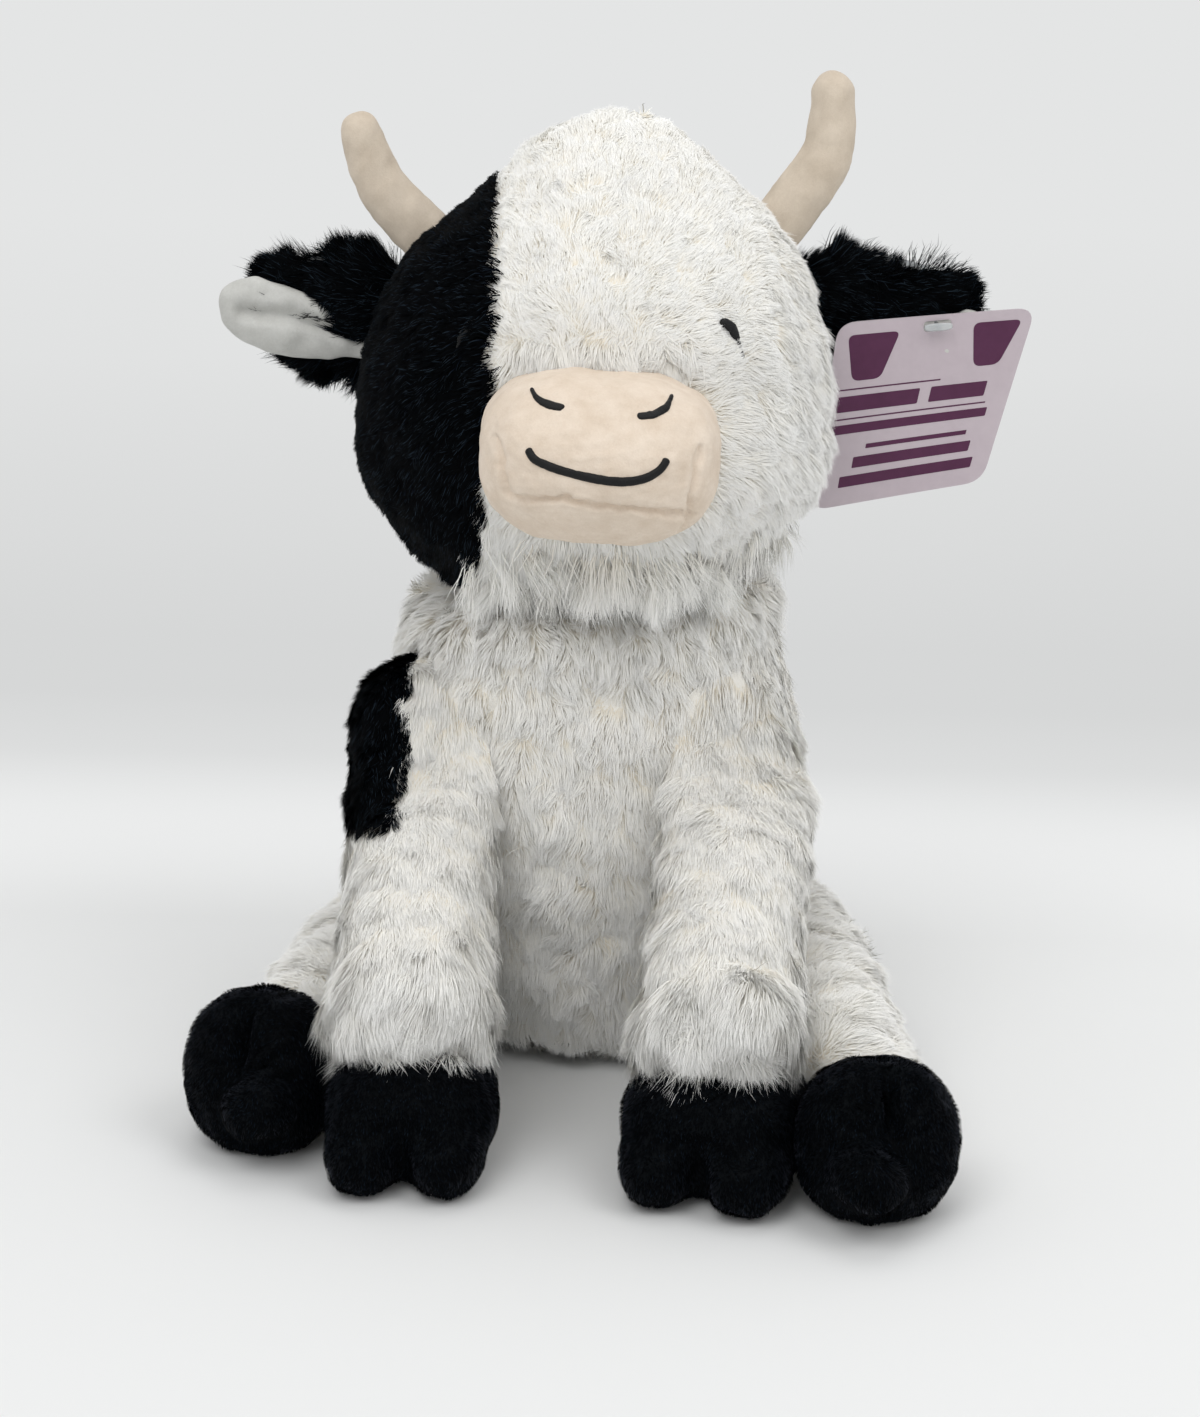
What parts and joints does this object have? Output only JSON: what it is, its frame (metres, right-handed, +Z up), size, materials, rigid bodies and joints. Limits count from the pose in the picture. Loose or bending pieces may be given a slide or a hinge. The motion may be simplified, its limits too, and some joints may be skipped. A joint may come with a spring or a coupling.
{
  "type": "plush cow",
  "caption": "Sitting plush cow with a black face panel and shoulder patch, cream muzzle and horns, lined ears, velour hooves, a squeaker and a hang tag.",
  "frame": {"origin": "middle of the flat seat panel, on the surface that the cow sits on", "axes": "+Z up; the cow faces -Y, so its own left side is at +X"},
  "size_m": [0.258, 0.2773, 0.307],
  "materials": {
    "white_plush": "long white faux fur",
    "black_plush": "black faux fur with a faint blue sheen",
    "black_velour": "short black velboa",
    "cream_velour": "short cream velboa",
    "white_lining": "smooth white minky",
    "black_thread": "satin-stitched rayon thread",
    "fibre_fill": "polyester fibre filling",
    "seat_felt": "short white felt",
    "squeaker_plastic": "blown polyethylene",
    "clear_plastic": "clear moulded nylon and film",
    "tag_card": "coated lilac card"
  },
  "bodies": {
    "torso": {"torso_cover": "white_plush", "torso_stuffing": "fibre_fill", "seat_panel": "seat_felt", "squeaker_bulb": "squeaker_plastic", "squeaker_reed": "clear_plastic"},
    "head": {"head_cover": "white_plush", "face_panel": "black_plush", "head_stuffing": "fibre_fill", "muzzle": "cream_velour", "smile_stitch": "black_thread", "nostril_right": "black_thread", "nostril_left": "black_thread", "eye_right": "black_thread", "eye_left": "black_thread", "horn_right": "cream_velour", "horn_left": "cream_velour"},
    "ear_right": {"ear_right": "black_plush", "ear_lining_right": "white_lining", "crinkle_film_right": "clear_plastic"},
    "ear_left": {"ear_left": "black_plush", "ear_lining_left": "white_lining", "crinkle_film_left": "clear_plastic", "tag_pin": "clear_plastic"},
    "tag": {"hang_tag": "tag_card"},
    "front_leg_right": {"front_leg_right": "white_plush", "shoulder_patch": "black_plush", "front_hoof_right": "black_velour"},
    "front_leg_left": {"front_leg_left": "white_plush", "front_hoof_left": "black_velour"},
    "hind_leg_right": {"hind_leg_right": "white_plush", "hind_hoof_right": "black_velour"},
    "hind_leg_left": {"hind_leg_left": "white_plush", "hind_hoof_left": "black_velour"},
    "tail": {"tail": "white_plush", "tail_tuft": "black_plush"}
  },
  "joints": [
    {"name": "neck_turn", "type": "hinge", "parent": "torso", "child": "head", "pos_m": [0, 0, 0.16], "axis": [0, 0, 1], "range_deg": [-20, 20]},
    {"name": "ear_right_lift", "type": "hinge", "parent": "head", "child": "ear_right", "pos_m": [-0.06275, 0.0071, 0.258], "axis": [-0.0785, 0.9969, 0], "range_deg": [0, 30]},
    {"name": "ear_left_lift", "type": "hinge", "parent": "head", "child": "ear_left", "pos_m": [0.06087, 0.01683, 0.258], "axis": [0.0785, -0.9969, 0], "range_deg": [0, 30]},
    {"name": "tag_swing", "type": "hinge", "parent": "ear_left", "child": "tag", "pos_m": [0.10604, 0.01637, 0.228], "axis": [0.0785, -0.9969, 0], "range_deg": [0, 25]},
    {"name": "front_leg_right_lift", "type": "hinge", "parent": "torso", "child": "front_leg_right", "pos_m": [-0.05, -0.022, 0.127], "axis": [-1, 0, 0], "range_deg": [0, 35]},
    {"name": "front_leg_left_lift", "type": "hinge", "parent": "torso", "child": "front_leg_left", "pos_m": [0.047, -0.022, 0.127], "axis": [-1, 0, 0], "range_deg": [0, 35]},
    {"name": "hind_leg_right_spread", "type": "hinge", "parent": "torso", "child": "hind_leg_right", "pos_m": [-0.074, 0.006, 0.026], "axis": [0, 0, -1], "range_deg": [0, 20]},
    {"name": "hind_leg_left_spread", "type": "hinge", "parent": "torso", "child": "hind_leg_left", "pos_m": [0.074, 0.006, 0.026], "axis": [0, 0, 1], "range_deg": [0, 20]},
    {"name": "tail_swing", "type": "hinge", "parent": "torso", "child": "tail", "pos_m": [0, 0.072, 0.07], "axis": [0, 1, 0], "range_deg": [-20, 20]}
  ]
}
